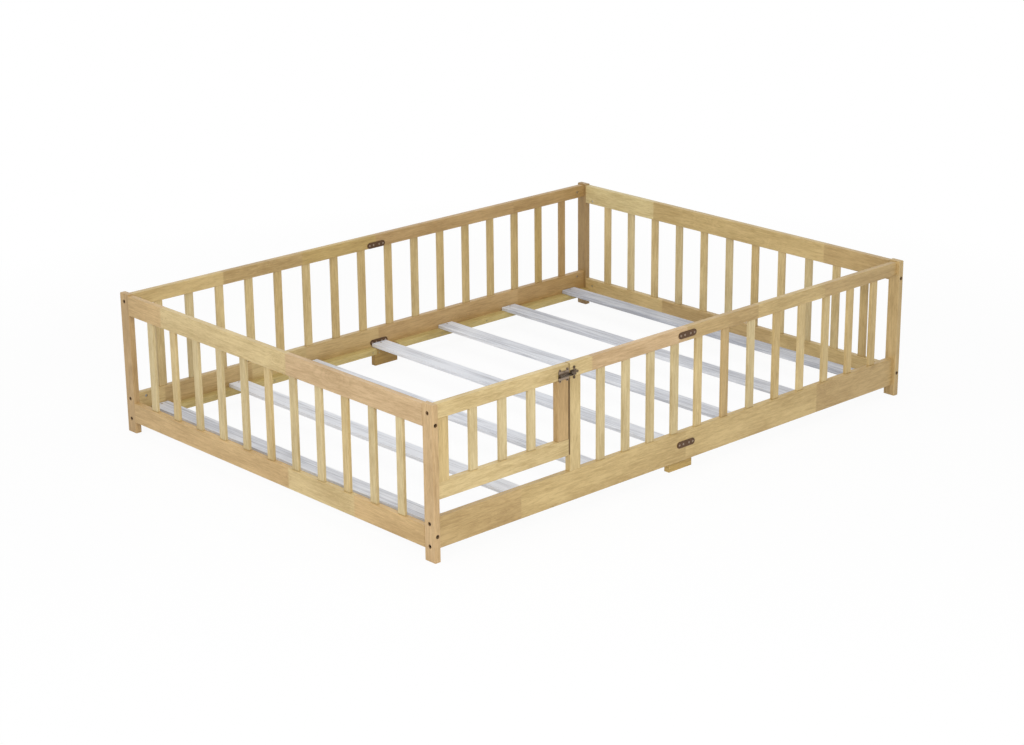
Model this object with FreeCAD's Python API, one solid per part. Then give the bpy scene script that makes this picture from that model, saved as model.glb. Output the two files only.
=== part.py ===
import FreeCAD, Part
import math
import os

# Toddler floor bed for a full-size mattress: low rails and balusters on all
# four sides, a slatted deck near the floor and a swinging gate with a bolt.
# Millimetres. X runs along the bed, Y from the gate side to the back, Z up.
# The origin is on the floor, in the middle of the four posts.

# ---- overall
bed_length = 1968.0
bed_width = 1450.0
post_height = 447.0

# ---- timber sections
post_thick = 20.0
post_wide = 42.0
rail_thick = 20.0
side_top_rail_height = 42.0
side_low_rail_height = 90.0
side_low_rail_lift = 34.0
end_top_rail_height = 63.0
end_low_rail_height = 63.0
end_low_rail_lift = 35.0
rail_top_drop = 4.0
baluster_wide = 28.0
baluster_thick = 10.0
mortise_depth = 10.0
edge_chamfer = 1.5
small_chamfer = 1.0

# ---- how many balusters stand in each panel
end_baluster_count = 11
half_side_baluster_count = 8
beside_gate_baluster_count = 4
gate_baluster_count = 3
half_gap_share = 0.5
beside_gate_gap_share = 0.39

# ---- gate in the front side
gate_length = 483.7
gate_hinge_gap = 3.0
gate_latch_gap = 4.8
gate_floor_clearance = 173.0
gate_low_rail_height = 49.0
stile_wide = 42.0
tenon_thick = 10.0
tenon_shoulder = 6.0

# ---- slatted deck
slat_count = 7
slat_wide = 62.0
slat_thick = 12.0
slat_end_gap = 48.0
slat_side_gap = 2.5
ledger_deep = 30.0
ledger_tall = 20.0
ledger_lift = 42.0
foot_wide = 97.0
foot_thick = 20.0
back_foot_shift = 15.0

# ---- connector bolts with cross-dowel nuts
bolt_radius = 3.0
bolt_head_radius = 5.0
bolt_head_height = 5.0
bolt_hole_radius = 3.3
bolt_tip = 9.0
bolt_tip_slack = 1.0
counterbore_radius = 5.5
side_counterbore_depth = 8.0
end_counterbore_depth = 10.0
nut_radius = 5.0
nut_length = 15.0
nut_inset = 32.0
nut_hole_slack = 0.15
thread_slack = 0.05
fastener_side_count = 8
low_bolt_up = 10.0
high_bolt_down = 15.0
end_top_bolt_up = 10.0
end_low_bolt_down = 23.0

# ---- joining plates over the butt joints of the side rails
plate_length = 74.0
plate_height = 20.0
plate_thick = 2.0
plate_end_side_count = 24
plate_hole_radius = 2.2
plate_hole_inner = 12.0
plate_hole_outer = 28.0
front_low_plate_up = 52.0
back_plate_drop = 10.5

# ---- butt hinges of the gate
hinge_height = 38.0
hinge_leaf_thick = 1.3
hinge_leaf_depth = 17.0
hinge_pin_radius = 1.4
hinge_knuckle_radius = 2.8
hinge_side_count = 12
hinge_knuckle_gap = 0.3
hinge_corner_gap = 0.3
hinge_running_slack = 0.06
hinge_seat_slack = 0.02
upper_hinge_down = 26.0
lower_hinge_up = 28.0
hinge_hole_radius = 1.7
hinge_hole_spread = 22.0

# ---- barrel bolt latch
latch_rod_radius = 3.5
latch_running_slack = 0.08
latch_wall = 1.2
latch_plate_thick = 1.6
latch_plate_length = 40.0
latch_plate_height = 25.0
latch_ear_radius = 4.2
latch_ear_inset = 6.0
latch_ear_rise = 15.0
latch_drop = 29.0
latch_throw = 12.0
latch_stem_radius = 1.75
latch_stem_inset = 6.5
latch_rod_proud = 3.0
latch_knob_tilt = 60.0
latch_knob_radius = 3.6
latch_knob_rise = 18.0
latch_knob_side_count = 16
latch_slot_slack = 0.5
keeper_gap = 0.5
keeper_length = 23.0
keeper_height = 17.0
keeper_loop_length = 10.5
keeper_slack = 0.7
keeper_neck = 5.0
keeper_ear_inset = 8.0
keeper_tail_reach = 5.0
keeper_tail_radius = 3.8
latch_hole_radius = 1.7
lobe_side_count = 20

# ---- derived places
half_length = bed_length / 2
half_width = bed_width / 2
rail_end = half_length - post_thick
rail_reveal = (post_wide - rail_thick) / 2
side_outer = half_width - rail_reveal
side_inner = side_outer - rail_thick
side_middle = half_width - post_wide / 2
end_span = half_width - post_wide
end_inner = half_length - rail_thick
end_middle = half_length - rail_thick / 2
rail_top = post_height - rail_top_drop
side_top_under = rail_top - side_top_rail_height
side_low_top = side_low_rail_lift + side_low_rail_height
end_top_under = rail_top - end_top_rail_height
end_low_top = end_low_rail_lift + end_low_rail_height
gate_start = -rail_end + gate_hinge_gap
gate_finish = gate_start + gate_length
gate_low_top = gate_floor_clearance + gate_low_rail_height
strike_start = gate_finish + gate_latch_gap
strike_finish = strike_start + stile_wide
ledger_top = ledger_lift + ledger_tall
slat_top = ledger_top + slat_thick
slat_half = side_inner - slat_side_gap
gate_face = -side_outer

FRONT = -1
BACK = 1
LEFT = -1
RIGHT = 1
X = FreeCAD.Vector(1, 0, 0)
Y = FreeCAD.Vector(0, 1, 0)
Z = FreeCAD.Vector(0, 0, 1)
SIDE_NAMES = {FRONT: "front", BACK: "back"}
END_NAMES = {LEFT: "left", RIGHT: "right"}

pieces = {}


# ---------------------------------------------------------------- helpers

def block(x_range, y_range, z_range):
    """A rectangular solid; each range is a pair in any order."""
    low = FreeCAD.Vector(min(x_range), min(y_range), min(z_range))
    high = FreeCAD.Vector(max(x_range), max(y_range), max(z_range))
    size = high - low
    return Part.makeBox(size.x, size.y, size.z, low)


def edges_along(solid, axis):
    """The straight edges of a solid that run along one axis."""
    found = []
    for edge in solid.Edges:
        if abs(edge.tangentAt(edge.FirstParameter).dot(axis)) > 0.999:
            found.append(edge)
    return found


def level_edge(edge):
    """Whether an edge lies level."""
    return edge.BoundBox.ZLength < 0.01


def eased(solid, axis, size):
    """Take a small flat off the long edges of a piece of timber."""
    return solid.makeChamfer(size, edges_along(solid, axis))


def cylinder(start, direction, radius, length):
    """A cylinder that starts at a point and runs along a direction."""
    return Part.makeCylinder(radius, length, start, direction)


def ring(centre, direction, radius, sides):
    """A closed regular polygon, square to a direction along one of the axes."""
    up = X if abs(direction.z) > 0.5 else Z
    across = direction.cross(up)
    points = []
    for corner in range(sides + 1):
        angle = 2 * math.pi * (corner + 0.5) / sides
        sideways = across * (radius * math.cos(angle))
        points.append(centre + sideways + up * (radius * math.sin(angle)))
    return Part.makePolygon(points)


def peg(start, direction, radius, length, sides=fastener_side_count):
    """A prism with a few flats in place of a cylinder, for small repeated pieces."""
    return Part.Face(ring(start, direction, radius, sides)).extrude(direction * length)


def around(radius, sides):
    """The corner radius of a polygon whose flats touch a circle."""
    return radius / math.cos(math.pi / sides)


def cut_all(solid, tools):
    """Take every tool out of a solid."""
    if not tools:
        return solid
    return solid.cut(tools)


def group(solids):
    """Several separate solids that share one node."""
    return Part.makeCompound(solids)


def joined(solids):
    """Fuse solids that are one real piece and clear their seams."""
    return solids[0].fuse(solids[1:]).removeSplitter()


def even_centres(start, finish, count, last_gap_share=1.0):
    """Baluster centres with equal gaps; the last gap may be a share of the others."""
    run = abs(finish - start)
    gap = (run - count * baluster_wide) / (count + last_gap_share)
    step = math.copysign(gap + baluster_wide, finish - start)
    first = start + math.copysign(gap + baluster_wide / 2, finish - start)
    return [first + index * step for index in range(count)]


# ---------------------------------------------------------------- connector bolts

class Connector:
    """A bolt through a post into a cross-dowel nut in the end of a rail.

    The face is the point on the post's outer face, and inward is the way the
    bolt runs. The nut lies square to it and is pushed in from the rail's
    inner face, which nut_way points to.
    """

    def __init__(self, face, inward, nut_way, post_depth, counterbore_depth):
        self.face = face
        self.inward = inward
        self.nut_way = nut_way
        self.post_depth = post_depth
        self.counterbore_depth = counterbore_depth
        self.nut_centre = face + inward * (post_depth + nut_inset)

    def bolt(self):
        head_seat = self.face + self.inward * self.counterbore_depth
        head_top = head_seat - self.inward * bolt_head_height
        head = peg(head_top, self.inward, bolt_head_radius, bolt_head_height)
        reach = (self.nut_centre - head_seat).Length + bolt_tip
        shank = peg(head_seat, self.inward, bolt_radius, reach)
        return joined([head, shank])

    def nut(self):
        start = self.nut_centre - self.nut_way * (nut_length / 2)
        body = peg(start, self.nut_way, nut_radius, nut_length)
        thread_start = self.nut_centre - self.inward * (2 * nut_radius)
        thread = peg(thread_start, self.inward, bolt_radius + thread_slack, 4 * nut_radius)
        return body.cut(thread)

    def post_hole(self):
        bore = peg(self.face, self.inward, counterbore_radius, self.counterbore_depth)
        shank = peg(self.face, self.inward, bolt_hole_radius, self.post_depth)
        return bore.fuse(shank)

    def rail_hole(self):
        start = self.face + self.inward * self.post_depth
        shank = peg(start, self.inward, bolt_hole_radius, nut_inset + bolt_tip + bolt_tip_slack)
        floor = self.nut_centre - self.nut_way * (nut_length / 2 + nut_hole_slack)
        nut_bore = peg(floor, self.nut_way, nut_radius + nut_hole_slack, rail_thick)
        return shank.fuse(nut_bore)


def side_connector(side, end, height):
    """Bolt along X, through a post into the end of a side rail."""
    face = FreeCAD.Vector(end * half_length, side * side_middle, height)
    return Connector(face, X * -end, Y * -side, post_thick, side_counterbore_depth)


def end_connector(side, end, height):
    """Bolt along Y, through a post into the end of an end rail."""
    face = FreeCAD.Vector(end * end_middle, side * half_width, height)
    return Connector(face, Y * -side, X * -end, post_wide, end_counterbore_depth)


side_top_bolt_height = rail_top - side_top_rail_height / 2
side_low_bolt_heights = [side_low_rail_lift + low_bolt_up, side_low_top - high_bolt_down]
end_top_bolt_height = end_top_under + end_top_bolt_up
end_low_bolt_height = end_low_top - end_low_bolt_down


def has_top_rail(side, end):
    """The gate stands where the front left top rail would meet its post."""
    return not (side == FRONT and end == LEFT)


# ---------------------------------------------------------------- posts

def make_post(side, end):
    """Corner post; its broad face looks along the bed."""
    post = block((end * half_length, end * rail_end),
                 (side * half_width, side * end_span),
                 (0, post_height))
    post = eased(post, Z, edge_chamfer)
    top_edges = [edge for edge in post.Edges if edge.BoundBox.ZMin > post_height - 0.01]
    post = post.makeChamfer(edge_chamfer, top_edges)
    tools = [side_connector(side, end, side_top_bolt_height).post_hole()]
    for height in side_low_bolt_heights:
        tools.append(side_connector(side, end, height).post_hole())
    for height in (end_top_bolt_height, end_low_bolt_height):
        tools.append(end_connector(side, end, height).post_hole())
    return cut_all(post, tools)


# ---------------------------------------------------------------- balusters

def baluster_solid(centre_x, centre_y, size_x, size_y, z_range):
    """One upright flat bar with eased corners, housed in both rails."""
    bar = block((centre_x - size_x / 2, centre_x + size_x / 2),
                (centre_y - size_y / 2, centre_y + size_y / 2),
                (z_range[0] - mortise_depth, z_range[1] + mortise_depth))
    return eased(bar, Z, small_chamfer)


def mortise(centre_x, centre_y, size_x, size_y, mouth, way):
    """The pocket that takes the end of an upright, cut from its mouth."""
    return block((centre_x - size_x / 2, centre_x + size_x / 2),
                 (centre_y - size_y / 2, centre_y + size_y / 2),
                 (mouth, mouth + way * mortise_depth))


def side_balusters(side, centres, z_range):
    """Balusters of a long side: their broad face looks across the bed."""
    bars = []
    for centre in centres:
        bars.append(baluster_solid(centre, side * side_middle, baluster_wide,
                                   baluster_thick, z_range))
    return group(bars)


def side_mortises(side, centres, mouth, way):
    tools = []
    for centre in centres:
        tools.append(mortise(centre, side * side_middle, baluster_wide, baluster_thick,
                             mouth, way))
    return tools


right_half_centres = even_centres(rail_end, 0, half_side_baluster_count, half_gap_share)
left_half_centres = even_centres(-rail_end, 0, half_side_baluster_count, half_gap_share)
beside_gate_centres = even_centres(strike_finish, 0, beside_gate_baluster_count,
                                   beside_gate_gap_share)
gate_centres = even_centres(gate_start + stile_wide, gate_finish - stile_wide,
                            gate_baluster_count)
end_centres = even_centres(-end_span, end_span, end_baluster_count)


# ---------------------------------------------------------------- upright stiles

def stile(start_x, z_range):
    """A flat stile with a shouldered tenon at both ends."""
    body = block((start_x, start_x + stile_wide), (-side_outer, -side_inner), z_range)
    body = eased(body, Z, edge_chamfer)
    tenon = block((start_x + tenon_shoulder, start_x + stile_wide - tenon_shoulder),
                  (-side_middle - tenon_thick / 2, -side_middle + tenon_thick / 2),
                  (z_range[0] - mortise_depth, z_range[1] + mortise_depth))
    return joined([body, tenon])


def stile_mortise(start_x, mouth, way):
    middle = start_x + stile_wide / 2
    return mortise(middle, -side_middle, stile_wide - 2 * tenon_shoulder, tenon_thick,
                   mouth, way)


# ---------------------------------------------------------------- end panels

def end_rail(end, low, height):
    """A rail between the two posts of one end, flush with their outer faces."""
    rail = block((end * half_length, end * end_inner), (-end_span, end_span),
                 (low, low + height))
    return eased(rail, Y, edge_chamfer)


def make_end(end):
    """Both rails and the balusters of the head or foot end."""
    name = END_NAMES[end]
    top = end_rail(end, end_top_under, end_top_rail_height)
    low = end_rail(end, end_low_rail_lift, end_low_rail_height)
    top_tools = []
    low_tools = []
    bars = []
    centre_x = end * end_middle
    for centre in end_centres:
        bars.append(baluster_solid(centre_x, centre, baluster_thick, baluster_wide,
                                   (end_low_top, end_top_under)))
        top_tools.append(mortise(centre_x, centre, baluster_thick, baluster_wide,
                                 end_top_under, 1))
        low_tools.append(mortise(centre_x, centre, baluster_thick, baluster_wide,
                                 end_low_top, -1))
    for side in (FRONT, BACK):
        top_tools.append(end_connector(side, end, end_top_bolt_height).rail_hole())
        low_tools.append(end_connector(side, end, end_low_bolt_height).rail_hole())
    pieces[name + "_end_top_rail"] = cut_all(top, top_tools)
    pieces[name + "_end_bottom_rail"] = cut_all(low, low_tools)
    pieces[name + "_end_balusters"] = group(bars)


# ---------------------------------------------------------------- joining plates

def plate_height_at(side, level):
    """The middle height of the plate over a butt joint."""
    heights = {"top": rail_top - side_top_rail_height / 2,
               "low": side_low_rail_lift + front_low_plate_up}
    if side == BACK:
        return heights[level] - back_plate_drop
    return heights[level]


def plate_back_y(side):
    """Plates lie on the face of the rail that looks to the front."""
    if side == BACK:
        return side_inner
    return -side_outer


def joining_plate(side, level):
    """A flat steel plate with rounded ends and four screw holes."""
    radius = plate_height / 2
    reach = plate_length / 2 - radius
    y = plate_back_y(side)
    height = plate_height_at(side, level)
    strip = block((-reach, reach), (y, y - plate_thick), (height - radius, height + radius))
    ends = []
    for end in (LEFT, RIGHT):
        centre = FreeCAD.Vector(end * reach, y, height)
        ends.append(peg(centre, -Y, around(radius, plate_end_side_count), plate_thick,
                        plate_end_side_count))
    plate = joined([strip] + ends)
    holes = []
    for end in (LEFT, RIGHT):
        for offset in (plate_hole_inner, plate_hole_outer):
            mouth = FreeCAD.Vector(end * offset, y, height)
            holes.append(peg(mouth, -Y, plate_hole_radius, plate_thick))
    return plate.cut(holes)


# ---------------------------------------------------------------- long sides

def side_rail(side, x_range, low, height):
    rail = block(x_range, (side * side_outer, side * side_inner), (low, low + height))
    return eased(rail, X, edge_chamfer)


def make_side_half(side, end, centres, top_start):
    """The top rail, bottom rail and balusters on one side of a butt joint."""
    name = SIDE_NAMES[side] + "_{}_" + END_NAMES[end]
    low = side_rail(side, (0, end * rail_end), side_low_rail_lift, side_low_rail_height)
    top = side_rail(side, (0, top_start), side_top_under, side_top_rail_height)
    low_tools = side_mortises(side, centres, side_low_top, -1)
    top_tools = side_mortises(side, centres, side_top_under, 1)
    for height in side_low_bolt_heights:
        low_tools.append(side_connector(side, end, height).rail_hole())
    if has_top_rail(side, end):
        top_tools.append(side_connector(side, end, side_top_bolt_height).rail_hole())
    else:
        low_tools.append(stile_mortise(strike_start, side_low_top, -1))
        top_tools.append(stile_mortise(strike_start, side_top_under, 1))
    pieces[name.format("top_rail")] = cut_all(top, top_tools)
    pieces[name.format("bottom_rail")] = cut_all(low, low_tools)
    pieces[name.format("balusters")] = side_balusters(side, centres,
                                                      (side_low_top, side_top_under))


# ---------------------------------------------------------------- ledgers and centre feet

def foot_middle(side):
    if side == BACK:
        return back_foot_shift
    return 0.0


def make_foot(side):
    """A board that carries the middle of a side rail down to the floor."""
    middle = foot_middle(side)
    board = block((middle - foot_wide / 2, middle + foot_wide / 2),
                  (side * side_inner, side * (side_inner - foot_thick)),
                  (0, ledger_top))
    return eased(board, Z, small_chamfer)


def ledger_range(side, end):
    """A ledger runs from the centre foot to the post."""
    return (foot_middle(side) + end * foot_wide / 2, end * rail_end)


def make_ledger(side, end):
    """The strip inside a bottom rail that the slats lie on."""
    strip = block(ledger_range(side, end), (side * side_inner, side * (side_inner - ledger_deep)),
                  (ledger_lift, ledger_top))
    return eased(strip, X, small_chamfer)


# ---------------------------------------------------------------- slats

slat_reach = end_inner - slat_end_gap - slat_wide / 2


def slat_middle(index):
    """Slats are evenly spaced between the two ends."""
    return -slat_reach + index * 2 * slat_reach / (slat_count - 1)


def make_slat(middle):
    slat = block((middle - slat_wide / 2, middle + slat_wide / 2), (-slat_half, slat_half),
                 (ledger_top, slat_top))
    return eased(slat, Y, small_chamfer)


# ---------------------------------------------------------------- hinges

hinge_axis_x = -rail_end + hinge_corner_gap + hinge_knuckle_radius
hinge_axis_y = gate_face - hinge_corner_gap - hinge_knuckle_radius
hinge_heights = [gate_low_top + lower_hinge_up + hinge_height / 2,
                 side_top_under - upper_hinge_down - hinge_height / 2]
frame_leaf_x = (-rail_end, -rail_end + hinge_leaf_thick)
gate_leaf_x = (gate_start - hinge_leaf_thick, gate_start)
hinge_leaf_front = gate_face
hinge_leaf_back = gate_face + hinge_leaf_depth


def leaf_holes(middle, x_range):
    """The two screw holes of a leaf, in a row at mid-depth."""
    y = (hinge_leaf_front + hinge_leaf_back) / 2
    holes = []
    for level in (-1, 1):
        start = FreeCAD.Vector(x_range[0], y, middle + level * hinge_hole_spread / 2)
        holes.append(peg(start, X, hinge_hole_radius, hinge_leaf_thick))
    return holes


def knuckle_ranges(middle):
    """Height ranges of the three knuckles, from the lowest."""
    step = hinge_height / 3
    low = middle - hinge_height / 2
    ranges = []
    for index in range(3):
        ranges.append((low + index * step + hinge_knuckle_gap / 2,
                       low + (index + 1) * step - hinge_knuckle_gap / 2))
    return ranges


def hinge_leaf(middle, x_range, knuckles, bore_radius):
    """A leaf with its knuckles rolled round the pin."""
    plate = block(x_range, (hinge_leaf_front, hinge_leaf_back),
                  (middle - hinge_height / 2, middle + hinge_height / 2))
    solids = [plate]
    for low, high in knuckles:
        axis_low = FreeCAD.Vector(hinge_axis_x, hinge_axis_y, low)
        solids.append(peg(axis_low, Z, hinge_knuckle_radius, high - low, hinge_side_count))
        solids.append(block(x_range, (hinge_axis_y, hinge_leaf_front), (low, high)))
    leaf = joined(solids)
    bore_start = FreeCAD.Vector(hinge_axis_x, hinge_axis_y, middle - hinge_height)
    bore = peg(bore_start, Z, bore_radius, 2 * hinge_height, hinge_side_count)
    return leaf.cut([bore] + leaf_holes(middle, x_range))


def make_hinges():
    """Two butt hinges in the corner between the post and the gate.

    The pins sit tight in the post's leaves and turn freely in the gate's.
    """
    seat_radius = hinge_pin_radius + hinge_seat_slack
    running_radius = around(hinge_pin_radius + hinge_running_slack, hinge_side_count)
    frame_leaves = []
    gate_leaves = []
    pins = []
    for middle in hinge_heights:
        ranges = knuckle_ranges(middle)
        frame_leaves.append(hinge_leaf(middle, frame_leaf_x, [ranges[0], ranges[2]],
                                       seat_radius))
        gate_leaves.append(hinge_leaf(middle, gate_leaf_x, [ranges[1]], running_radius))
        pin_low = FreeCAD.Vector(hinge_axis_x, hinge_axis_y, middle - hinge_height / 2)
        pins.append(peg(pin_low, Z, hinge_pin_radius, hinge_height, hinge_side_count))
    pieces["frame_hinge_leaves"] = group(frame_leaves)
    pieces["hinge_pins"] = group(pins)
    pieces["gate_hinge_leaves"] = group(gate_leaves)


# ---------------------------------------------------------------- latch

latch_height = rail_top - latch_drop
latch_axis_y = gate_face - latch_plate_thick - latch_rod_radius - latch_running_slack
latch_plate_middle = gate_finish - latch_plate_length / 2
latch_stem_x = gate_finish - latch_stem_inset
keeper_start = strike_start + keeper_gap
keeper_loop_start = latch_stem_x + latch_throw + latch_stem_radius + latch_slot_slack


def face_plate(outline):
    """A thin plate on the gate's front plane, from a face drawn on it."""
    return outline.extrude(-Y * latch_plate_thick)


def lobe(x, z, radius):
    """A rounded lobe on the gate's front plane."""
    return Part.Face(ring(FreeCAD.Vector(x, gate_face, z), Y, radius, lobe_side_count))


def panel(x_range, z_range):
    """A rectangle on the gate's front plane."""
    corners = [(x_range[0], z_range[0]), (x_range[1], z_range[0]),
               (x_range[1], z_range[1]), (x_range[0], z_range[1]), (x_range[0], z_range[0])]
    points = [FreeCAD.Vector(x, gate_face, z) for x, z in corners]
    return Part.Face(Part.makePolygon(points))


def arch(x_range, inner_radius, wall):
    """A strap bent over the rod, with straight legs down to its plate."""
    start = FreeCAD.Vector(x_range[0], latch_axis_y, latch_height)
    length = x_range[1] - x_range[0]
    outer_radius = inner_radius + wall
    heel = gate_face - latch_plate_thick / 2
    heights = (latch_height - outer_radius, latch_height + outer_radius)
    front = block(x_range, (latch_axis_y - outer_radius, latch_axis_y), heights)
    legs = block(x_range, (latch_axis_y, heel), heights)
    return joined([cylinder(start, X, outer_radius, length).common(front), legs])


def rod_space(x_range, radius):
    """The room for the rod, open down to the plate."""
    start = FreeCAD.Vector(x_range[0], latch_axis_y, latch_height)
    length = x_range[1] - x_range[0]
    bore = cylinder(start, X, radius, length)
    floor = gate_face - latch_plate_thick
    throat = block(x_range, (latch_axis_y, floor), (latch_height - radius, latch_height + radius))
    return bore.fuse(throat)


def latch_ear_places():
    """Where the middles of the four ears lie, as pairs of x and z."""
    reach = latch_plate_length / 2 - latch_ear_inset
    places = []
    for end in (LEFT, RIGHT):
        for level in (-1, 1):
            places.append((latch_plate_middle + end * reach,
                           latch_height + level * latch_ear_rise))
    return places


def latch_hole(x, z):
    """A screw hole through the latch plate or the keeper."""
    return peg(FreeCAD.Vector(x, gate_face, z), -Y, latch_hole_radius, latch_plate_thick)


def make_latch_plate():
    """The plate with four ears and the slotted barrel that guides the rod."""
    half = latch_plate_length / 2
    x_range = (latch_plate_middle - half, latch_plate_middle + half)
    outlines = [panel(x_range, (latch_height - latch_plate_height / 2,
                                latch_height + latch_plate_height / 2))]
    tools = [stem_slot()]
    for x, z in latch_ear_places():
        outlines.append(lobe(x, z, latch_ear_radius))
        tools.append(latch_hole(x, z))
    plate = joined([face_plate(outline) for outline in outlines])
    bore_radius = latch_rod_radius + latch_running_slack
    housing = joined([plate, arch(x_range, bore_radius, latch_wall)])
    return housing.cut(tools + [rod_space(x_range, bore_radius)])


def stem_slot():
    """The slot in the barrel that the stem slides along, open to the gate's edge."""
    slot_half = latch_stem_radius + latch_slot_slack
    axis = latch_axis_point(latch_stem_x)
    slot = block((latch_stem_x - slot_half, gate_finish),
                 (axis.y - slot_half, axis.y + slot_half),
                 (axis.z, axis.z + latch_knob_rise))
    return slot.rotated(axis, X, latch_knob_tilt)


def latch_axis_point(x):
    return FreeCAD.Vector(x, latch_axis_y, latch_height)


def make_latch_rod():
    """The sliding rod; its nose is chamfered and its stem hole is blind."""
    start_x = latch_plate_middle - latch_plate_length / 2 + latch_rod_proud
    nose_x = gate_finish + latch_rod_proud
    rod = cylinder(latch_axis_point(start_x), X, latch_rod_radius, nose_x - start_x)
    nose = [edge for edge in rod.Edges if edge.BoundBox.XMin > nose_x - 0.01]
    rod = rod.makeChamfer(latch_rod_radius / 4, nose)
    return rod.cut(latch_stem())


def latch_stem():
    start = latch_axis_point(latch_stem_x)
    stem = peg(start, Z, latch_stem_radius, latch_knob_rise, latch_knob_side_count)
    return stem.rotated(start, X, latch_knob_tilt)


def make_latch_knob():
    """A ball with eased shoulders on a stem that is driven into the rod."""
    axis = latch_axis_point(latch_stem_x)
    radius = latch_knob_radius
    ball_low = latch_knob_rise - radius
    ball = peg(axis + Z * ball_low, Z, radius, 2 * radius, latch_knob_side_count)
    ball = ball.makeChamfer(radius / 2, [edge for edge in ball.Edges if level_edge(edge)])
    stem = peg(axis, Z, latch_stem_radius, ball_low, latch_knob_side_count)
    return joined([stem, ball]).rotated(axis, X, latch_knob_tilt)


def make_keeper():
    """The plate with a loop for the rod, two screwed ears and a lobed tail."""
    x_range = (keeper_start, keeper_start + keeper_length)
    half_height = keeper_height / 2
    half_neck = keeper_neck / 2
    ear_x = x_range[1] - keeper_ear_inset
    tail_x = x_range[1] + keeper_tail_reach
    outlines = [panel(x_range, (latch_height - half_height, latch_height + half_height)),
                panel((ear_x - half_neck, ear_x + half_neck),
                      (latch_height - latch_ear_rise, latch_height + latch_ear_rise)),
                panel((ear_x, tail_x), (latch_height - half_neck, latch_height + half_neck)),
                lobe(tail_x, latch_height, keeper_tail_radius)]
    loop_range = (keeper_loop_start, keeper_loop_start + keeper_loop_length)
    inner_radius = latch_rod_radius + keeper_slack
    tools = [rod_space(loop_range, inner_radius)]
    for level in (-1, 1):
        ear_z = latch_height + level * latch_ear_rise
        outlines.append(lobe(ear_x, ear_z, latch_ear_radius))
        tools.append(latch_hole(ear_x, ear_z))
    plate = joined([face_plate(outline) for outline in outlines])
    return joined([plate, arch(loop_range, inner_radius, latch_wall)]).cut(tools)


# ---------------------------------------------------------------- gate

def make_gate():
    """Two rails with the stiles and balusters housed between them."""
    x_range = (gate_start, gate_finish)
    top = side_rail(FRONT, x_range, side_top_under, side_top_rail_height)
    low = side_rail(FRONT, x_range, gate_floor_clearance, gate_low_rail_height)
    latch_stile_start = gate_finish - stile_wide
    top_tools = side_mortises(FRONT, gate_centres, side_top_under, 1)
    low_tools = side_mortises(FRONT, gate_centres, gate_low_top, -1)
    for start in (gate_start, latch_stile_start):
        top_tools.append(stile_mortise(start, side_top_under, 1))
        low_tools.append(stile_mortise(start, gate_low_top, -1))
    upright = (gate_low_top, side_top_under)
    pieces["gate_top_rail"] = cut_all(top, top_tools)
    pieces["gate_bottom_rail"] = cut_all(low, low_tools)
    pieces["gate_hinge_stile"] = stile(gate_start, upright)
    pieces["gate_latch_stile"] = stile(latch_stile_start, upright)
    pieces["gate_balusters"] = side_balusters(FRONT, gate_centres, upright)


# ---------------------------------------------------------------- the whole bed

def make_sides():
    make_side_half(FRONT, LEFT, beside_gate_centres, strike_start)
    make_side_half(FRONT, RIGHT, right_half_centres, rail_end)
    make_side_half(BACK, LEFT, left_half_centres, -rail_end)
    make_side_half(BACK, RIGHT, right_half_centres, rail_end)
    pieces["gate_strike_stile"] = stile(strike_start, (side_low_top, side_top_under))


def make_connectors():
    """Every bolt with its nut."""
    side_joints = []
    end_joints = []
    for side in (FRONT, BACK):
        for end in (LEFT, RIGHT):
            if has_top_rail(side, end):
                side_joints.append(side_connector(side, end, side_top_bolt_height))
            for height in side_low_bolt_heights:
                side_joints.append(side_connector(side, end, height))
            for height in (end_top_bolt_height, end_low_bolt_height):
                end_joints.append(end_connector(side, end, height))
    pieces["side_rail_bolts"] = group([joint.bolt() for joint in side_joints])
    pieces["end_rail_bolts"] = group([joint.bolt() for joint in end_joints])
    pieces["barrel_nuts"] = group([joint.nut() for joint in side_joints + end_joints])


def make_plates():
    plates = []
    for side in (FRONT, BACK):
        for level in ("top", "low"):
            plates.append(joining_plate(side, level))
    pieces["joining_plates"] = group(plates)


def make_bed():
    for side in (FRONT, BACK):
        for end in (LEFT, RIGHT):
            name = "post_" + SIDE_NAMES[side] + "_" + END_NAMES[end]
            pieces[name] = make_post(side, end)
            ledger_name = SIDE_NAMES[side] + "_ledger_" + END_NAMES[end]
            pieces[ledger_name] = make_ledger(side, end)
        pieces[SIDE_NAMES[side] + "_centre_foot"] = make_foot(side)
    for end in (LEFT, RIGHT):
        make_end(end)
    make_sides()
    for index in range(slat_count):
        pieces["slat_" + str(index + 1)] = make_slat(slat_middle(index))
    make_gate()
    make_hinges()
    pieces["latch_plate"] = make_latch_plate()
    pieces["latch_rod"] = make_latch_rod()
    pieces["latch_knob"] = make_latch_knob()
    pieces["latch_keeper"] = make_keeper()
    make_plates()
    make_connectors()


make_bed()
os.makedirs("parts", exist_ok=True)
for name, shape in pieces.items():
    shape.exportStep("parts/" + name + ".step")
print(len(pieces), "pieces")
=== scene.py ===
import math

import bmesh
import bpy
from mathutils import Matrix, Vector


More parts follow.
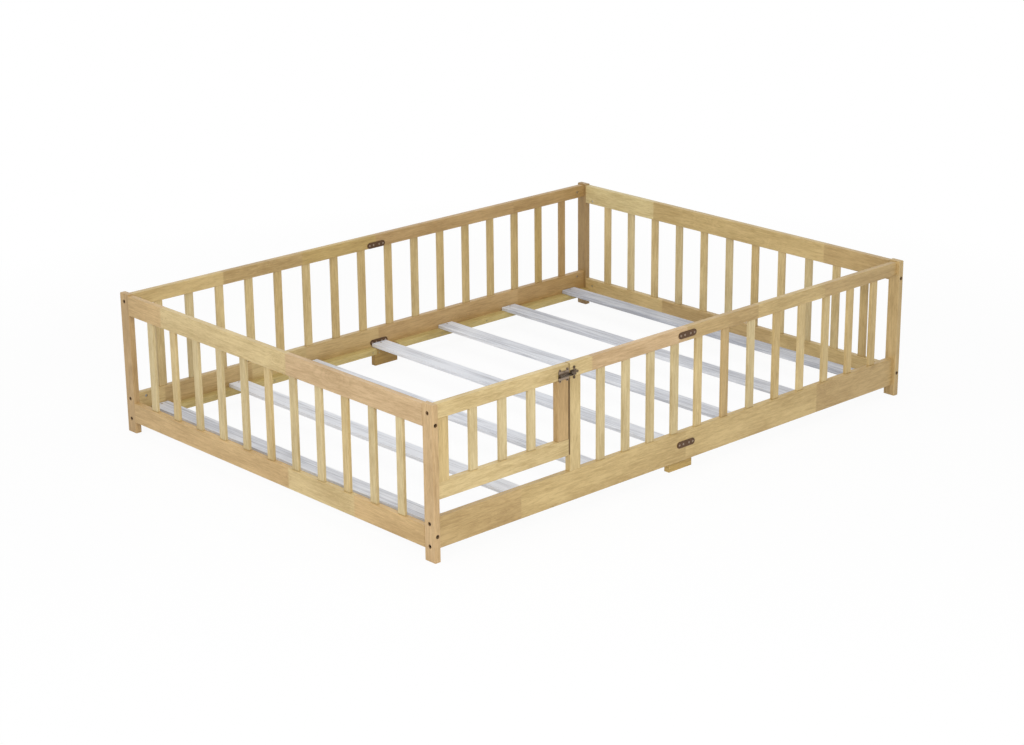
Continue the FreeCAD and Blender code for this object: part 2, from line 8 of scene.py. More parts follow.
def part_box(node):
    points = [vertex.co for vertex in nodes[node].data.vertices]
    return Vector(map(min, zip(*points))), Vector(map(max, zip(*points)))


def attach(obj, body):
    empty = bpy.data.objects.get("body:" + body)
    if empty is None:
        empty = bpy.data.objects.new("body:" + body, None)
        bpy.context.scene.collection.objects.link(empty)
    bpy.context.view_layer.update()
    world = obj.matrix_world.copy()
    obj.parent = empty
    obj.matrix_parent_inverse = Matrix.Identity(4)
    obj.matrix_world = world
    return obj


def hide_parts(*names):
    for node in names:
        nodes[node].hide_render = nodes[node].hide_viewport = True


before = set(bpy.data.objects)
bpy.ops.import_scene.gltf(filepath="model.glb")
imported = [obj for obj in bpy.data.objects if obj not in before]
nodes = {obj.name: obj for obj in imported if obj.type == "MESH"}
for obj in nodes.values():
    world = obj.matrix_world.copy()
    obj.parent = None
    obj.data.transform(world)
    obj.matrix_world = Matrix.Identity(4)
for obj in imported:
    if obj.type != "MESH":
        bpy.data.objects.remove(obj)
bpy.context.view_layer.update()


# ---------------------------------------------------------------- camera
# The bed is seen from its gate side and its left end, from well above the
# rails, through a long lens.

camera_place = Vector((-4.686, -5.054, 2.462))
camera_yaw = math.radians(42.64)
camera_pitch = math.radians(18.68)
camera_roll = math.radians(-0.55)
focal_pixels = 2316.0
picture_width = 1024

camera_data = bpy.data.cameras.new("camera")
camera_data.sensor_width = 36.0
camera_data.lens = focal_pixels * camera_data.sensor_width / picture_width
camera = bpy.data.objects.new("camera", camera_data)
bpy.context.scene.collection.objects.link(camera)
turn = Matrix.Rotation(-camera_yaw, 4, "Z") @ Matrix.Rotation(math.pi / 2 - camera_pitch, 4, "X")
camera.matrix_world = Matrix.Translation(camera_place) @ turn @ Matrix.Rotation(camera_roll, 4, "Z")
bpy.context.scene.camera = camera


# ---------------------------------------------------------------- studio
# A white sweep under even soft light, with the key light near the gate end.
# The floor keeps a faint shadow under the posts and rails.

class Graph:
    """The node tree of one material, with short ways to add nodes to it."""

    def __init__(self, material):
        material.use_nodes = True
        self.tree = material.node_tree
        self.tree.nodes.clear()

    def node(self, kind, settings=None, **values):
        """A node of a type, its settings first, then its sockets by name."""
        made = self.tree.nodes.new("ShaderNode" + kind)
        for name, value in (settings or {}).items():
            if name == "stops":
                self.set_stops(made.color_ramp, value)
            else:
                setattr(made, name, value)
        for name, value in values.items():
            self.feed(self.find(made, name), value)
        return made

    def find(self, made, name):
        """A socket by its plain name or, written as input_0, by its place."""
        if name.startswith("input_"):
            return made.inputs[int(name[6:])]
        wanted = name.replace("_", " ").lower()
        for socket in made.inputs:
            if socket.name.lower() == wanted and socket.enabled:
                return socket
        raise KeyError(name)

    def feed(self, socket, value):
        """Link a socket to another, or set it to a plain value."""
        if isinstance(value, Value):
            value = value.socket
        if isinstance(value, bpy.types.NodeSocket):
            self.tree.links.new(value, socket)
        else:
            socket.default_value = value

    def set_stops(self, ramp, stops):
        """Fill a colour ramp; a stop's shade is a grey or a colour."""
        while len(ramp.elements) < len(stops):
            ramp.elements.new(1.0)
        for element, (place, shade) in zip(ramp.elements, stops):
            element.position = place
            element.color = shade + (1.0,) if isinstance(shade, tuple) else (shade, shade, shade, 1.0)

    def value(self, kind, settings=None, **values):
        """The same node, its first output wrapped for arithmetic."""
        return Value(self, self.node(kind, settings, **values).outputs[0])

    def mix(self, share, first, second):
        """A colour between two colours."""
        made = self.node("Mix", {"data_type": "RGBA"})
        self.feed(made.inputs[0], share)
        self.feed(made.inputs[6], first)
        self.feed(made.inputs[7], second)
        return made.outputs[2]

    def ramp(self, value, stops):
        """A number led through a ramp of greys."""
        return self.value("ValToRGB", {"stops": stops}, fac=value)

    def tinted(self, colour, factors):
        """A colour times three constant factors."""
        made = self.node("VectorMath", {"operation": "MULTIPLY"})
        self.feed(made.inputs[0], colour)
        self.feed(made.inputs[1], factors)
        return made.outputs[0]


class Value:
    """A number socket that takes part in Python arithmetic."""

    def __init__(self, graph, socket):
        self.graph = graph
        self.socket = socket

    def maths(self, operation, first, second=None):
        """A Math node on one or two numbers or sockets."""
        made = self.graph.node("Math", {"operation": operation})
        self.graph.feed(made.inputs[0], first)
        if second is not None:
            self.graph.feed(made.inputs[1], second)
        return Value(self.graph, made.outputs[0])

    def __add__(self, other):
        return self.maths("ADD", self, other)

    def __radd__(self, other):
        return self.maths("ADD", other, self)

    def __sub__(self, other):
        return self.maths("SUBTRACT", self, other)

    def __rsub__(self, other):
        return self.maths("SUBTRACT", other, self)

    def __mul__(self, other):
        return self.maths("MULTIPLY", self, other)

    def __rmul__(self, other):
        return self.maths("MULTIPLY", other, self)

    def __truediv__(self, other):
        return self.maths("DIVIDE", self, other)

    def __rtruediv__(self, other):
        return self.maths("DIVIDE", other, self)

    def fraction(self):
        return self.maths("FRACT", self)

    def absolute(self):
        return self.maths("ABSOLUTE", self)

    def root(self):
        return self.maths("SQRT", self)

    def below(self, limit):
        return self.maths("LESS_THAN", self, limit)

    def clamped(self):
        return self.maths("MINIMUM", self.maths("MAXIMUM", self, 0.0), 1.0)


def new_material(name):
    material = bpy.data.materials.new(name)
    return material, Graph(material)


WHITE = (1.0, 1.0, 1.0, 1.0)
floor_grey = (0.95, 0.95, 0.95, 1.0)
floor_size = 40.0
floor_glow = 0.93
sweep_start = 1.7


def white_floor():
    """White to the camera, but still darkened where the bed shades it."""
    material, graph = new_material("white_floor")
    path = graph.node("LightPath")
    seen = Value(graph, path.outputs["Is Camera Ray"])
    glossy = Value(graph, path.outputs["Is Glossy Ray"])
    matt = graph.node("BsdfDiffuse", color=floor_grey)
    glow = graph.node("Emission", color=WHITE, strength=1.0)
    place = graph.node("SeparateXYZ", vector=graph.node("TexCoord").outputs["Object"])
    east, north = (Value(graph, place.outputs[index]) for index in (0, 1))
    away = (east * east + north * north).root() - sweep_start
    share = seen.maths("MAXIMUM", seen, glossy) * (floor_glow + away.clamped() * (1.0 - floor_glow))
    both = graph.node("MixShader", input_0=share, input_1=matt.outputs[0], input_2=glow.outputs[0])
    graph.node("OutputMaterial", surface=both.outputs[0])
    return material


floor_mesh = bmesh.new()
bmesh.ops.create_grid(floor_mesh, x_segments=1, y_segments=1, size=floor_size / 2)
floor_data = bpy.data.meshes.new("floor")
floor_mesh.to_mesh(floor_data)
floor_mesh.free()
floor_data.materials.append(white_floor())
floor = bpy.data.objects.new("floor", floor_data)
bpy.context.scene.collection.objects.link(floor)

room_brightness = 0.47
world = bpy.data.worlds.new("studio")
bpy.context.scene.world = world
world_graph = Graph(world)
room = world_graph.node("Background", color=WHITE, strength=room_brightness)
sweep = world_graph.node("Background", color=WHITE, strength=1.0)
world_path = world_graph.node("LightPath")
world_seen = Value(world_graph, world_path.outputs["Is Camera Ray"])
world_glossy = Value(world_graph, world_path.outputs["Is Glossy Ray"])
world_both = world_graph.node("MixShader", input_0=world_seen.maths("MAXIMUM", world_seen, world_glossy),
                              input_1=room.outputs[0], input_2=sweep.outputs[0])
world_graph.node("OutputWorld", surface=world_both.outputs[0])


def soft_lamp(name, place, aim, size, power):
    """A square soft box that looks at a point."""
    lamp = bpy.data.lights.new(name, "AREA")
    lamp.shape = "SQUARE"
    lamp.size = size
    lamp.energy = power
    box = bpy.data.objects.new(name, lamp)
    bpy.context.scene.collection.objects.link(box)
    way = Vector(aim) - Vector(place)
    box.matrix_world = Matrix.Translation(place) @ way.to_track_quat("-Z", "Y").to_matrix().to_4x4()


soft_lamp("key_box", (-3.0, -4.0, 2.6), (-0.4, -0.2, 0.2), 2.2, 112.0)
soft_lamp("overhead_box", (0.0, 0.0, 4.0), (0.0, 0.0, 0.2), 3.0, 42.0)
soft_lamp("end_box", (-5.2, 0.8, 2.0), (-0.8, 0.0, 0.2), 2.4, 30.0)

bpy.context.scene.view_settings.view_transform = "Standard"


# ---------------------------------------------------------------- corner posts
# Four hardwood posts, 42 mm across and 20 mm thick, planed with eased edges,
# bored for the connector bolts of the rails and given a thin satin lacquer.

FLAX = (0.660, 0.530, 0.255)
STRAW = (0.615, 0.465, 0.215)
PALE = (0.600, 0.475, 0.242)
HONEY = (0.572, 0.415, 0.176)
AMBER = (0.572, 0.386, 0.166)
OCHRE = (0.512, 0.358, 0.128)
ROSY = (0.570, 0.390, 0.198)
TAN = (0.498, 0.343, 0.142)
RUSSET = (0.485, 0.315, 0.130)
UMBER = (0.460, 0.292, 0.112)

LIGHT_GRAIN = (1.17, 1.20, 1.27)
DARK_GRAIN = (0.79, 0.745, 0.66)
# Colour of the dark marks: painted shade on edges, gaps, bolt holes and joints, and the wood's own knot
# cores and joint lines.
SHADE_AND_KNOT_COLOUR = (0.12, 0.060, 0.025, 1.0)
small_knot = 0.01
ramp_span = 2.0
fingers_per_metre = 230.0
finger_length = 0.012
AXES = {"X": (0, 1, 2), "Y": (1, 0, 2), "Z": (2, 0, 1)}


def bed_coordinates(graph, along):
    """The bed's own coordinates, with the one that runs along an axis first."""
    place = graph.node("TexCoord").outputs["Object"]
    parts = graph.node("SeparateXYZ", vector=place)
    return [Value(graph, parts.outputs[index]) for index in AXES[along]]


def stretched_noise(graph, place, detail, roughness=0.5, distortion=0.0):
    """Noise on three coordinates that are already scaled."""
    vector = graph.node("CombineXYZ", x=place[0], y=place[1], z=place[2]).outputs[0]
    return graph.value("TexNoise", scale=1.0, detail=detail, roughness=roughness,
                       distortion=distortion, vector=vector)


def colour_steps(graph, value, steps):
    """Plain steps of colour; each starts at a place in metres from the bed's middle."""
    stops = [(start / ramp_span + 0.5, colour) for start, colour in steps]
    made = graph.node("ValToRGB", {"stops": stops}, fac=value / ramp_span + 0.5)
    made.color_ramp.interpolation = "CONSTANT"
    return made.outputs[0]


def finger_joint(graph, across):
    """How far the cut fingers of a glued joint reach, on a coordinate across the grain."""
    return ((across * fingers_per_metre).fraction() - 0.5).absolute() * finger_length


def marked(graph, marks):
    """The share of dark marks, each given as its places, its reach and its strength.

    The places are coordinates by axis: one gives a flat line across a piece,
    two give a round mark along the third axis. A height may follow the
    strength, and the mark then starts there.
    """
    total = 0.0
    for places, reach, strength, *start in marks:
        offsets = [bed_coordinates(graph, axis)[0] - at for axis, at in places.items()]
        squares = sum((offset * offset for offset in offsets[1:]), offsets[0] * offsets[0])
        share = squares.root().below(reach) * strength
        for height in start:
            share = share - share * bed_coordinates(graph, "Z")[0].below(height)
        total = total + share
    return total


def timber(name, along, steps, shift=0.0, stepped_on=None, marks=(), knots=(), figure=1.0,
           roughness=0.46):
    """Planed hardwood: glued lengths of different colour, growth rings, fibres and fleck.

    A plain colour may stand in place of the steps. stepped_on is the axis on
    which the steps lie, where it isn't the grain's own, as on a row of bars.
    A knot is its place along the grain, its height and its size. shift picks
    another stretch of grain, and figure is how strongly the grain shows.
    """
    if not isinstance(steps, list):
        steps = [(-1.0, steps)]
    material, graph = new_material(name)
    length, first, second = bed_coordinates(graph, along)
    if stepped_on:
        tone = colour_steps(graph, bed_coordinates(graph, stepped_on)[0], steps)
    else:
        tone = colour_steps(graph, length + finger_joint(graph, second), steps)
    jump = graph.value("RGBToBW", color=tone) * 60.0 + shift
    run = length + jump
    rings = stretched_noise(graph, (run * 1.6, first * 22.0 + shift, second * 22.0), 2.0, 0.5, 0.6)
    cores = 0.0
    for at, height, size in knots:
        away, off = (length - at) * 0.6, second - height
        reach = (away * away + off * off).root() / size
        rings = rings + 0.38 / (1.0 + reach * reach)
        if size < small_knot:
            cores = cores + (0.9 - reach * 1.6).clamped() * 0.5
    ring_lines = graph.ramp((rings * 12.0).fraction(), [(0.0, 0.0), (0.55, 0.3), (0.86, 1.0), (1.0, 0.1)])
    streaks = stretched_noise(graph, (run * 12.0, first * 170.0, second * 170.0), 3.0, 0.65)
    fibres = stretched_noise(graph, (run * 45.0, first * 560.0, second * 560.0), 3.0, 0.65)
    pores = graph.ramp(stretched_noise(graph, (run * 80.0, first * 800.0, second * 800.0), 2.0),
                       [(0.0, 1.0), (0.33, 1.0), (0.38, 0.0), (1.0, 0.0)])
    clouds = stretched_noise(graph, (run * 5.0, first * 15.0, second * 15.0), 3.0, 0.6)
    shade = (rings - 0.5) * 0.6 + (ring_lines - 0.4) * 0.30 + (streaks - 0.5) * 1.5
    shade = shade + (fibres - 0.5) * 1.7 + (clouds - 0.5) * 1.9 + pores * 0.30
    shade = shade * figure + 0.45
    base = graph.mix(shade.clamped(), graph.tinted(tone, LIGHT_GRAIN), graph.tinted(tone, DARK_GRAIN))
    # The dark share is painted shade along edges, gaps, bolt holes and joints, plus the wood's own knot
    # cores.
    dark = marked(graph, marks) + cores
    if isinstance(dark, Value):
        base = graph.mix(dark.clamped(), base, SHADE_AND_KNOT_COLOUR)
    gloss = roughness + (fibres - 0.5) * 0.12 + pores * 0.1
    relief = fibres * 0.5 + ring_lines * 0.25 - pores * 0.8
    bump = graph.node("Bump", strength=0.16, distance=0.0004, height=relief)
    shader = graph.node("BsdfPrincipled", base_color=base, roughness=gloss,
                        normal=bump.outputs[0], coat_weight=0.12, coat_roughness=0.3)
    graph.node("OutputMaterial", surface=shader.outputs[0])
    return material


def dress(node, material):
    """Give a carried-over piece its finish."""
    mesh = nodes[node].data
    mesh.materials.clear()
    mesh.materials.append(material)


end_low, end_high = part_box("left_end_bottom_rail")[1][2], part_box("left_end_top_rail")[0][2]
side_low, side_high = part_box("front_bottom_rail_left")[1][2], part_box("front_top_rail_left")[0][2]
low_bolt_up = 0.010
high_bolt_down = 0.015
end_low_bolt_down = 0.023
end_top_bolt_up = 0.010
side_bolt_heights = (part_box("front_bottom_rail_left")[0][2] + low_bolt_up, side_low - high_bolt_down,
                     (side_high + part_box("front_top_rail_left")[1][2]) / 2)
end_bolt_heights = (end_low - end_low_bolt_down, end_high + end_top_bolt_up)
bolt_hole_shade_reach = 0.0061
bolt_hole_shade_strength = 0.75


def bolt_hole_shade(post):
    """Painted shade in the bolt holes of a post and just round their rims, about the axes of its bolts.
    """
    low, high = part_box(post)
    middle_x, middle_y = (low[0] + high[0]) / 2, (low[1] + high[1]) / 2
    places = [{"Y": middle_y, "Z": height} for height in side_bolt_heights]
    places += [{"X": middle_x, "Z": height} for height in end_bolt_heights]
    return [(place, bolt_hole_shade_reach, bolt_hole_shade_strength) for place in places]


post_tones = {"post_front_left": (0.552, 0.372, 0.178),
              "post_front_right": (0.525, 0.370, 0.160),
              "post_back_left": (0.485, 0.318, 0.138),
              "post_back_right": (0.370, 0.235, 0.088)}
for index, (name, tone) in enumerate(post_tones.items()):
    dress(name, timber(name + "_wood", "Z", tone, shift=0.9 + index * 0.7, marks=bolt_hole_shade(name)))


# ---------------------------------------------------------------- end panels
# Each end has a 63 mm top and bottom rail, flush with the outside of the
# posts and glued up from short finger-jointed lengths, and eleven flat
# balusters that are housed in both.

end_rail_tones = {
    "left_end_top_rail": [(-1.0, ROSY), (-0.10, STRAW), (0.51, AMBER)],
    "left_end_bottom_rail": [(-1.0, AMBER), (-0.39, STRAW), (-0.09, AMBER)],
    "right_end_top_rail": [(-1.0, TAN), (-0.42, HONEY), (0.35, FLAX)],
    "right_end_bottom_rail": [(-1.0, HONEY), (-0.2, TAN), (0.3, HONEY)],
}
end_rail_knots = {
    "left_end_top_rail": [(0.504, 0.410, 0.005), (-0.053, 0.417, 0.016), (-0.31, 0.425, 0.024)],
    "left_end_bottom_rail": [(-0.079, 0.071, 0.005), (-0.34, 0.075, 0.012), (0.51, 0.050, 0.012)],
    "right_end_top_rail": [(0.12, 0.415, 0.022), (-0.20, 0.400, 0.014)],
    "right_end_bottom_rail": [(-0.30, 0.060, 0.010)],
}
arris_shade_reach = 0.0024
arris_shade_strength = 0.4


def arris_shade_line(rail, across):
    """A dark line of painted shade on the upper edge of a rail, on its far side along an axis."""
    far_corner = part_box(rail)[1]
    places = {across: far_corner["XYZ".index(across)], "Z": far_corner[2]}
    return places, arris_shade_reach, arris_shade_strength


for index, (name, tones) in enumerate(end_rail_tones.items()):
    dress(name, timber(name + "_wood", "Y", tones, shift=2.3 + index * 1.1,
                       knots=end_rail_knots[name], marks=[arris_shade_line(name, "X")]))

bar_wide = 0.028
joint_and_shade_reach = 0.0014
joint_and_shade_strength = 0.35


def bar_steps(row, axis, tones):
    """Steps of colour that fall between the bars of a row, one tone for each bar."""
    start, finish = (corner["XYZ".index(axis)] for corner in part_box(row))
    pitch = (finish - start - bar_wide) / (len(tones) - 1)
    first_middle = start + bar_wide / 2
    return [(first_middle + (index - 0.5) * pitch, tone) for index, tone in enumerate(tones)]


def joint_and_shade(*heights):
    """Thin dark lines where bars go into their rails: partly a dark joint line, partly painted contact
    shade.
    """
    return [({"Z": height}, joint_and_shade_reach, joint_and_shade_strength) for height in heights]


end_bar_tones = {
    "left_end_balusters": (PALE, PALE, STRAW, PALE, PALE, STRAW, PALE, PALE, PALE, STRAW, PALE),
    "right_end_balusters": (HONEY, STRAW, PALE, STRAW, HONEY, PALE, STRAW, PALE, STRAW, PALE, STRAW),
}
bar_figure = 0.9
for index, (name, tones) in enumerate(end_bar_tones.items()):
    dress(name, timber(name + "_wood", "Z", bar_steps(name, "Y", tones), shift=4.2 + index,
                       stepped_on="Y", marks=joint_and_shade(end_low, end_high), figure=bar_figure))


# ---------------------------------------------------------------- long sides
# Both long sides are made in two halves that butt in the middle: a 42 mm top
# rail and a 90 mm bottom rail of finger-jointed lengths, with flat balusters
# housed between them and a stile where the gate closes.

side_rail_tones = {
    "front_top_rail_left": [(-1.0, STRAW), (-0.39, ROSY)],
    "front_top_rail_right": [(-1.0, TAN), (0.305, HONEY), (0.61, TAN)],
    "front_bottom_rail_left": [(-1.0, TAN), (-0.66, HONEY)],
    "front_bottom_rail_right": [(-1.0, HONEY), (0.59, TAN)],
    "back_top_rail_left": [(-1.0, HONEY), (-0.62, TAN), (-0.31, OCHRE)],
    "back_top_rail_right": [(-1.0, RUSSET), (0.62, UMBER)],
    "back_bottom_rail_left": [(-1.0, HONEY), (-0.86, TAN), (-0.53, STRAW), (-0.31, TAN)],
    "back_bottom_rail_right": [(-1.0, RUSSET), (0.64, UMBER)],
}
side_rail_knots = {
    "front_bottom_rail_left": [(-0.733, 0.073, 0.016), (-0.20, 0.020, 0.030)],
    "front_bottom_rail_right": [(0.66, 0.105, 0.014)],
    "back_top_rail_left": [(-0.46, 0.420, 0.012)],
    "back_bottom_rail_right": [(0.37, 0.080, 0.014)],
}
for index, (name, tones) in enumerate(side_rail_tones.items()):
    dress(name, timber(name + "_wood", "X", tones, shift=6.1 + index * 0.77,
                       knots=side_rail_knots.get(name, ()), marks=[arris_shade_line(name, "Y")]))

side_bar_tones = {
    "front_balusters_left": (PALE, PALE, PALE, PALE),
    "front_balusters_right": (STRAW, TAN, PALE, HONEY, STRAW, STRAW, HONEY, HONEY),
    "back_balusters_left": (STRAW, PALE, STRAW, STRAW, HONEY, STRAW, HONEY, HONEY),
    "back_balusters_right": (HONEY, STRAW, HONEY, HONEY, HONEY, HONEY, OCHRE, UMBER),
}
for index, (name, tones) in enumerate(side_bar_tones.items()):
    dress(name, timber(name + "_wood", "Z", bar_steps(name, "X", tones), shift=9.4 + index * 1.3,
                       stepped_on="X", marks=joint_and_shade(side_low, side_high), figure=bar_figure))

# The strike stile's side towards the gate gets a thin line of painted shade, from the gate's foot up,
# where the gap lies in shadow.
strike_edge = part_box("gate_strike_stile")[0][0]
strike_gap_shade_reach = 0.0012
strike_gap_shade_strength = 0.70
gate_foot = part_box("gate_bottom_rail")[0][2]
strike_gap_shade = [({"X": strike_edge}, strike_gap_shade_reach, strike_gap_shade_strength, gate_foot)]
dress("gate_strike_stile", timber("strike_stile_wood", "Z", STRAW, shift=14.2, marks=strike_gap_shade))


# ---------------------------------------------------------------- gate
# A small framed gate: its top and bottom rails run through, and two stiles and
# three balusters are housed between them.

gate_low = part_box("gate_bottom_rail")[1][2]
# The gate's closing edge gets a thin line of painted shade, where the gap beside it lies in shadow.
gate_gap_shade_reach = 0.0010
gate_gap_shade_strength = 0.45
gate_gap_shade = ({"X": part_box("gate_top_rail")[1][0]}, gate_gap_shade_reach, gate_gap_shade_strength)
gate_joint_and_shade = joint_and_shade(gate_low, side_high)
dress("gate_top_rail", timber("gate_top_rail_wood", "X", STRAW, shift=16.1,
                              marks=[gate_gap_shade, arris_shade_line("gate_top_rail", "Y")]))
dress("gate_bottom_rail", timber("gate_bottom_rail_wood", "X", STRAW, shift=17.0, marks=[gate_gap_shade]))
dress("gate_hinge_stile", timber("gate_hinge_stile_wood", "Z", HONEY, shift=17.9))
dress("gate_latch_stile", timber("gate_latch_stile_wood", "Z", RUSSET, shift=18.8,
                                 marks=[gate_gap_shade] + gate_joint_and_shade))
dress("gate_balusters", timber("gate_baluster_wood", "Z", PALE, shift=21.0, marks=gate_joint_and_shade,
                               figure=bar_figure))


# ---------------------------------------------------------------- ledgers and centre feet
# Planed strips without lacquer, screwed along the inside of the bottom rails,
# and a board each side that stands on the floor under the middle slat.

LEDGER_STRAW = (0.495, 0.378, 0.140)
FOOT_GOLD = (0.540, 0.375, 0.125)
LEDGER_TAN = (0.380, 0.235, 0.060)
bare_roughness = 0.6
for index, name in enumerate(("front_ledger_left", "front_ledger_right", "back_ledger_left",
                              "back_ledger_right")):
    dress(name, timber(name + "_wood", "X", LEDGER_STRAW, shift=24.0 + index * 1.9,
                       roughness=bare_roughness))
dress("front_centre_foot", timber("front_foot_wood", "X", FOOT_GOLD, shift=31.3,
                                  roughness=bare_roughness))
dress("back_centre_foot", timber("back_foot_wood", "X", LEDGER_TAN, shift=33.1,
                                 roughness=bare_roughness))


def metal(name, colour, wear_and_shade, roughness, metallic=1.0, scale=260.0, plate_face=None):
    """Plated or darkened metal with faint blotches and worn spots.

    plate_face is the Y of the flat front of a plate. Its rim behind that, and
    what stands in front of it, take more of the second colour as painted shade.
    """
    material, graph = new_material(name)
    place = graph.node("TexCoord").outputs["Object"]
    blotches = graph.value("TexNoise", scale=scale, detail=3.0, roughness=0.6, vector=place)
    scuffs = graph.ramp(graph.value("TexNoise", scale=scale * 4, detail=2.0, vector=place),
                        [(0.0, 0.0), (0.55, 0.0), (0.7, 1.0), (1.0, 1.0)])
    share = blotches * 0.5 + scuffs * 0.4
    if plate_face is not None:
        depth = bed_coordinates(graph, "Y")[0]
        raised_shade = ((plate_face - depth) * 500.0).clamped()
        rim_shade = ((depth - plate_face) * 2500.0 - 0.3).clamped()
        share = share * 0.5 + raised_shade * (blotches * 1.1 + 0.05) + rim_shade * 0.7
    base = graph.mix(share.clamped(), colour + (1.0,), wear_and_shade + (1.0,))
    bump = graph.node("Bump", strength=0.15, distance=0.0002, height=blotches)
    shader = graph.node("BsdfPrincipled", base_color=base, metallic=metallic,
                        roughness=roughness + (blotches - 0.5) * 0.25, normal=bump.outputs[0])
    graph.node("OutputMaterial", surface=shader.outputs[0])
    return material


def turned(outline, steps=24):
    """A closed round shape, spun about Z from the radii and heights of its side."""
    mesh = bmesh.new()
    corners = [mesh.verts.new((radius, 0.0, height)) for radius, height in outline]
    sides = [mesh.edges.new(pair) for pair in zip(corners, corners[1:])]
    bmesh.ops.spin(mesh, geom=corners + sides, cent=(0, 0, 0), axis=(0, 0, 1),
                   angle=2 * math.pi, steps=steps, use_merge=True)
    rims = [edge for edge in mesh.edges if edge.is_boundary]
    bmesh.ops.holes_fill(mesh, edges=rims, sides=steps)
    bmesh.ops.recalc_face_normals(mesh, faces=mesh.faces)
    return mesh


recess_margin = 0.00005


def sunk(mesh, reach_at, depth):
    """Sink a recess into the top of a turned shape; its outline is a reach at each angle."""
    top = max(mesh.faces, key=lambda face: face.calc_center_median().z)
    bmesh.ops.inset_individual(mesh, faces=[top], thickness=recess_margin)
    for corner in top.verts:
        angle = math.atan2(corner.co.y, corner.co.x)
        corner.co.x = reach_at(angle) * math.cos(angle)
        corner.co.y = reach_at(angle) * math.sin(angle)
    bmesh.ops.inset_individual(mesh, faces=[top], thickness=0.0, depth=-depth)
    return mesh


tiny = 0.0001


def cross_reach(angle, arm=0.00125, half_width=0.00038):
    """The outline of a cross recess, seen from its middle."""
    along, across = abs(math.cos(angle)), abs(math.sin(angle))
    along, across = max(along, across), max(min(along, across), tiny)
    return min(arm / along, half_width / across)


twist_step = 1.1


def spread(pattern, places):
    """One mesh with a copy of a small shape at each point, facing along its way.

    Each copy is turned further round than the last, because driven screws
    stop at any angle.
    """
    template = bpy.data.meshes.new("template")
    pattern.to_mesh(template)
    pattern.free()
    whole = bmesh.new()
    for index, (place, way) in enumerate(places):
        first = len(whole.verts)
        whole.from_mesh(template)
        whole.verts.ensure_lookup_table()
        turn = Vector(way).to_track_quat("Z", "X").to_matrix().to_4x4()
        twist = Matrix.Rotation(index * twist_step, 4, "Z")
        bmesh.ops.transform(whole, matrix=Matrix.Translation(place) @ turn @ twist,
                            verts=whole.verts[first:])
    bpy.data.meshes.remove(template)
    return whole


def hand_over(mesh, name, material, body):
    """Make a finished mesh a piece of the bed."""
    bmesh.ops.recalc_face_normals(mesh, faces=mesh.faces)
    data = bpy.data.meshes.new(name)
    mesh.to_mesh(data)
    mesh.free()
    data.materials.append(material)
    piece = bpy.data.objects.new(name, data)
    bpy.context.scene.collection.objects.link(piece)
    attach(piece, body)
    return piece


def screw_head(radius, rise):
    """The low pan head of a wood screw with a cross recess."""
    outline = [(radius, 0.0), (radius, rise * 0.5), (radius * 0.88, rise * 0.86), (radius * 0.68, rise)]
    recess_depth = rise * 0.7
    return sunk(turned(outline), cross_reach, recess_depth)


yellow_zinc = metal("yellow_zinc_screws", (0.30, 0.24, 0.13), (0.55, 0.46, 0.28), 0.38)
ledger_screw_radius = 0.0032
ledger_screw_rise = 0.0007
ledger_screw_count = 4
first_ledger_screw = 0.256
ledger_screw_gap = 0.206
lone_screw = -0.050
front_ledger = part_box("front_ledger_left")
back_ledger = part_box("back_ledger_left")
ledger_screw_height = (front_ledger[0][2] + front_ledger[1][2]) / 2
ledger_screw_places = []
for face, way in ((front_ledger[1][1], (0, 1, 0)), (back_ledger[0][1], (0, -1, 0))):
    for side in (-1, 1):
        for count in range(ledger_screw_count):
            x = side * (first_ledger_screw + count * ledger_screw_gap)
            ledger_screw_places.append(((x, face, ledger_screw_height), way))
ledger_screw_places.append(((lone_screw, back_ledger[0][1], ledger_screw_height), (0, -1, 0)))
foot_screw_spread = 0.030
foot_screw_heights = (0.043, 0.053)
for name, inner_corner, way in (("front_centre_foot", 1, (0, 1, 0)), ("back_centre_foot", 0, (0, -1, 0))):
    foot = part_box(name)
    middle = (foot[0][0] + foot[1][0]) / 2
    for side in (-1, 1):
        for height in foot_screw_heights:
            place = (middle + side * foot_screw_spread, foot[inner_corner][1], height)
            ledger_screw_places.append((place, way))
hand_over(spread(screw_head(ledger_screw_radius, ledger_screw_rise), ledger_screw_places),
          "ledger_and_foot_screws", yellow_zinc, "frame")


# ---------------------------------------------------------------- slats
# Seven flat slats with a thin grey-white wash that leaves the grain showing
# as streaks, each held to the ledgers by a screw at both ends.

WASH_LIGHT = (0.85, 0.875, 0.93, 1.0)
WASH_DARK = (0.40, 0.42, 0.48, 1.0)
WASH_BARE = (0.50, 0.44, 0.34, 1.0)


